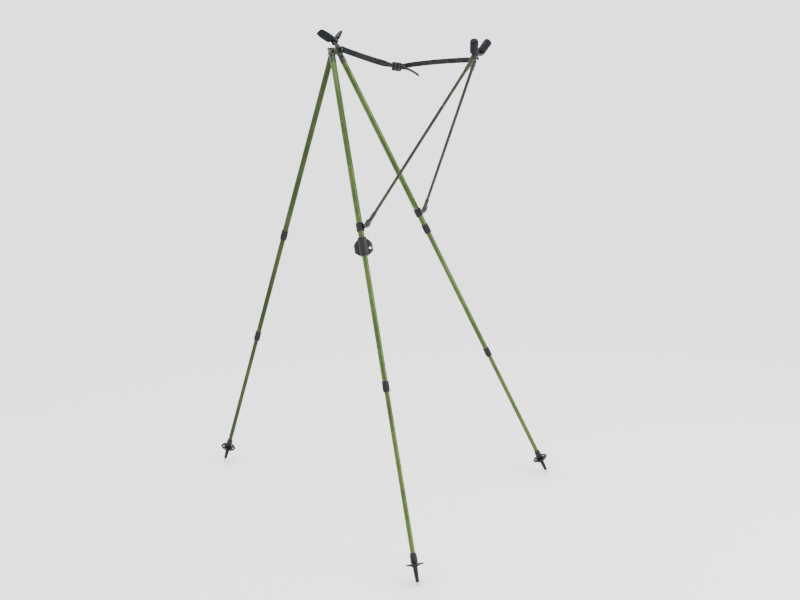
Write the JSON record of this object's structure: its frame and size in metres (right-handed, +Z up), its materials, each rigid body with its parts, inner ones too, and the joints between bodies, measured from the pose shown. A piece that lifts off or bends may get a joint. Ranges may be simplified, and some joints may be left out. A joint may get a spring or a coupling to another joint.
{
  "type": "tripod shooting stand",
  "caption": "Tripod hunting stand with telescopic anodised legs, padded V rest on the head, rear V rest on folding struts, joining strap and basket feet.",
  "frame": {"origin": "on the ground under the head, near the middle of the three feet", "axes": "+Z up, +X from the front rest to the rear rest, +Y to leg c's side"},
  "size_m": [1.046, 0.913, 1.4647],
  "materials": {
    "anodised_green": "gloss anodised, dark olive green",
    "strut_green": "satin anodised, dull olive green",
    "green_fitting": "semi-gloss dark green paint",
    "black_plastic": "moulded, fine satin texture",
    "black_gloss": "moulded, polished",
    "foam": "soft closed-cell foam",
    "steel": "zinc plated, dulled",
    "dark_steel": "blackened",
    "webbing": "woven polyester webbing"
  },
  "bodies": {
    "head": {"head": "green_fitting", "hinge_pins": "dark_steel"},
    "front_post": {"front_post": "black_plastic"},
    "front_rest": {"front_bolt": "dark_steel", "front_fork": "black_plastic", "front_pad_left": "foam", "front_pad_right": "foam"},
    "leg_a_upper": {"leg_a_top_fitting": "green_fitting", "leg_a_upper_tube": "anodised_green", "leg_a_upper_collar": "black_plastic"},
    "leg_a_mid_lock": {"leg_a_mid_expander": "black_plastic"},
    "leg_a_mid": {"leg_a_mid_tube": "anodised_green", "leg_a_lower_collar": "black_plastic"},
    "leg_a_lower_lock": {"leg_a_lower_expander": "black_plastic"},
    "leg_a_lower": {"leg_a_lower_tube": "anodised_green", "leg_a_ferrule": "black_plastic", "leg_a_basket": "black_plastic", "leg_a_tip": "steel"},
    "leg_b_upper": {"leg_b_top_fitting": "green_fitting", "leg_b_upper_tube": "anodised_green", "leg_b_upper_collar": "black_plastic", "leg_keeper": "black_plastic"},
    "leg_b_mid_lock": {"leg_b_mid_expander": "black_plastic"},
    "leg_b_mid": {"leg_b_mid_tube": "anodised_green", "leg_b_lower_collar": "black_plastic"},
    "leg_b_lower_lock": {"leg_b_lower_expander": "black_plastic"},
    "leg_b_lower": {"leg_b_lower_tube": "anodised_green", "leg_b_ferrule": "black_plastic", "leg_b_basket": "black_plastic", "leg_b_tip": "steel"},
    "leg_c_upper": {"leg_c_top_fitting": "green_fitting", "leg_c_upper_tube": "anodised_green", "leg_c_upper_collar": "black_plastic"},
    "leg_c_mid_lock": {"leg_c_mid_expander": "black_plastic"},
    "leg_c_mid": {"leg_c_mid_tube": "anodised_green", "leg_c_lower_collar": "black_plastic"},
    "leg_c_lower_lock": {"leg_c_lower_expander": "black_plastic"},
    "leg_c_lower": {"leg_c_lower_tube": "anodised_green", "leg_c_ferrule": "black_plastic", "leg_c_basket": "black_plastic", "leg_c_tip": "steel"},
    "bracket_b": {"bracket_b": "black_plastic"},
    "bracket_c": {"bracket_c": "black_plastic"},
    "strut_b": {"strut_b_tube": "strut_green", "strut_b_fork": "green_fitting", "strut_b_eye": "green_fitting", "strut_b_rivets": "dark_steel"},
    "strut_c": {"strut_c_tube": "strut_green", "strut_c_fork": "green_fitting", "strut_c_eye": "green_fitting", "strut_c_rivets": "dark_steel"},
    "rear_bracket": {"rear_bracket": "green_fitting"},
    "rear_rest": {"rear_tilt_bolt": "dark_steel", "rear_fork": "black_plastic", "rear_sleeve_left": "foam", "rear_sleeve_right": "foam"},
    "strap_front": {"strap_front": "webbing"},
    "strap_rear": {"strap_rear": "webbing", "strap_buckle": "black_gloss"}
  },
  "joints": [
    {"name": "leg_a_splay", "type": "hinge", "parent": "head", "child": "leg_a_upper", "pos_m": [-0.012, 0, 1.393], "axis": [0, -1, 0], "range_deg": [0, 17.8]},
    {"name": "leg_a_mid_slide", "type": "slide", "parent": "leg_a_upper", "child": "leg_a_mid_lock", "axis": [-0.3387, 0, -0.9409], "range_m": [-0.339, 0.097]},
    {"name": "leg_a_mid_twist", "type": "hinge", "parent": "leg_a_mid_lock", "child": "leg_a_mid", "pos_m": [-0.16545, 0, 0.96678], "axis": [-0.3387, 0, -0.9409], "range_deg": [0, 180]},
    {"name": "leg_a_lower_slide", "type": "slide", "parent": "leg_a_mid", "child": "leg_a_lower_lock", "axis": [-0.3387, 0, -0.9409], "range_m": [-0.385, 0.039]},
    {"name": "leg_a_lower_twist", "type": "hinge", "parent": "leg_a_lower_lock", "child": "leg_a_lower", "pos_m": [-0.31285, 0, 0.55735], "axis": [-0.3387, 0, -0.9409], "range_deg": [0, 180]},
    {"name": "leg_b_splay", "type": "hinge", "parent": "head", "child": "leg_b_upper", "pos_m": [0.0015, -0.0203, 1.393], "axis": [0.6334, 0.7738, 0], "range_deg": [0, 24.6]},
    {"name": "leg_b_mid_slide", "type": "slide", "parent": "leg_b_upper", "child": "leg_b_mid_lock", "axis": [0.338, -0.2767, -0.8996], "range_m": [-0.357, 0.064]},
    {"name": "leg_b_mid_twist", "type": "hinge", "parent": "leg_b_mid_lock", "child": "leg_b_mid", "pos_m": [0.16578, -0.15476, 0.95581], "axis": [0.338, -0.2767, -0.8996], "range_deg": [0, 180]},
    {"name": "leg_b_lower_slide", "type": "slide", "parent": "leg_b_mid", "child": "leg_b_lower_lock", "axis": [0.338, -0.2767, -0.8996], "range_m": [-0.42, 0.004]},
    {"name": "leg_b_lower_twist", "type": "hinge", "parent": "leg_b_lower_lock", "child": "leg_b_lower", "pos_m": [0.32466, -0.28481, 0.53297], "axis": [0.338, -0.2767, -0.8996], "range_deg": [0, 180]},
    {"name": "leg_c_splay", "type": "hinge", "parent": "head", "child": "leg_c_upper", "pos_m": [0.0015, 0.0203, 1.393], "axis": [-0.6334, 0.7738, 0], "range_deg": [0, 24.6]},
    {"name": "leg_c_mid_slide", "type": "slide", "parent": "leg_c_upper", "child": "leg_c_mid_lock", "axis": [0.338, 0.2767, -0.8996], "range_m": [-0.428, 0.008]},
    {"name": "leg_c_mid_twist", "type": "hinge", "parent": "leg_c_mid_lock", "child": "leg_c_mid", "pos_m": [0.1847, 0.17025, 0.90544], "axis": [0.338, 0.2767, -0.8996], "range_deg": [0, 180]},
    {"name": "leg_c_lower_slide", "type": "slide", "parent": "leg_c_mid", "child": "leg_c_lower_lock", "axis": [0.338, 0.2767, -0.8996], "range_m": [-0.364, 0.06]},
    {"name": "leg_c_lower_twist", "type": "hinge", "parent": "leg_c_lower_lock", "child": "leg_c_lower", "pos_m": [0.32466, 0.28481, 0.53297], "axis": [0.338, 0.2767, -0.8996], "range_deg": [0, 180]},
    {"name": "bracket_b_swivel", "type": "hinge", "parent": "leg_b_upper", "child": "bracket_b", "pos_m": [0.1847, -0.17025, 0.90544], "axis": [0.338, -0.2767, -0.8996], "range_deg": [0, 3.32]},
    {"name": "bracket_c_swivel", "type": "hinge", "parent": "leg_c_upper", "child": "bracket_c", "pos_m": [0.1847, 0.17025, 0.90544], "axis": [0.338, 0.2767, -0.8996], "range_deg": [-3.32, 0]},
    {"name": "rear_frame_swing", "type": "hinge", "parent": "bracket_b", "child": "strut_b", "pos_m": [0.20538, -0.16686, 0.91217], "axis": [0, 1, 0], "range_deg": [-41, 0]},
    {"name": "strut_c_swing", "type": "hinge", "parent": "bracket_c", "child": "strut_c", "pos_m": [0.20538, 0.16686, 0.91217], "axis": [0, 1, 0], "range_deg": [-41.01, 0]},
    {"name": "rear_bracket_turn", "type": "hinge", "parent": "strut_b", "child": "rear_bracket", "pos_m": [0.463, -0.007, 1.375], "axis": [-0.8738, 0, 0.4864], "range_deg": [0, 14.72]},
    {"name": "rear_tilt", "type": "hinge", "parent": "rear_bracket", "child": "rear_rest", "pos_m": [0.46835, 0, 1.38461], "axis": [0, 1, 0], "range_deg": [-20, 20]},
    {"name": "strap_front_swing", "type": "hinge", "parent": "head", "child": "strap_front", "pos_m": [0.025, -0.0012, 1.405], "axis": [0, 1, 0], "range_deg": [0, 74.22], "deforming": ["strap_front"]},
    {"name": "strap_rear_swing", "type": "hinge", "parent": "rear_bracket", "child": "strap_rear", "pos_m": [0.4493, 0.0021, 1.36889], "axis": [0, 1, 0], "range_deg": [-49, 0], "deforming": ["strap_rear", "strap_buckle"]},
    {"name": "front_swivel", "type": "hinge", "parent": "head", "child": "front_post", "pos_m": [0.01, 0, 1.41], "axis": [-0.5446, 0, 0.8387], "range_deg": [-30, 30]},
    {"name": "front_rock", "type": "hinge", "parent": "front_post", "child": "front_rest", "pos_m": [-0.00035, 0, 1.42593], "axis": [0.8387, 0, 0.5446], "range_deg": [-30, 30]}
  ],
  "couplings": [
    {"joint": "leg_c_splay", "follows": "leg_b_splay", "ratio": 1},
    {"joint": "bracket_b_swivel", "follows": "leg_b_splay", "ratio": 0.13454},
    {"joint": "bracket_c_swivel", "follows": "leg_b_splay", "ratio": -0.13454},
    {"joint": "rear_bracket_turn", "follows": "leg_b_splay", "ratio": 0.59799},
    {"joint": "strut_c_swing", "follows": "rear_frame_swing", "ratio": 1},
    {"joint": "strap_front_swing", "follows": "rear_frame_swing", "ratio": -1.81},
    {"joint": "strap_rear_swing", "follows": "rear_frame_swing", "ratio": 1.195}
  ]
}
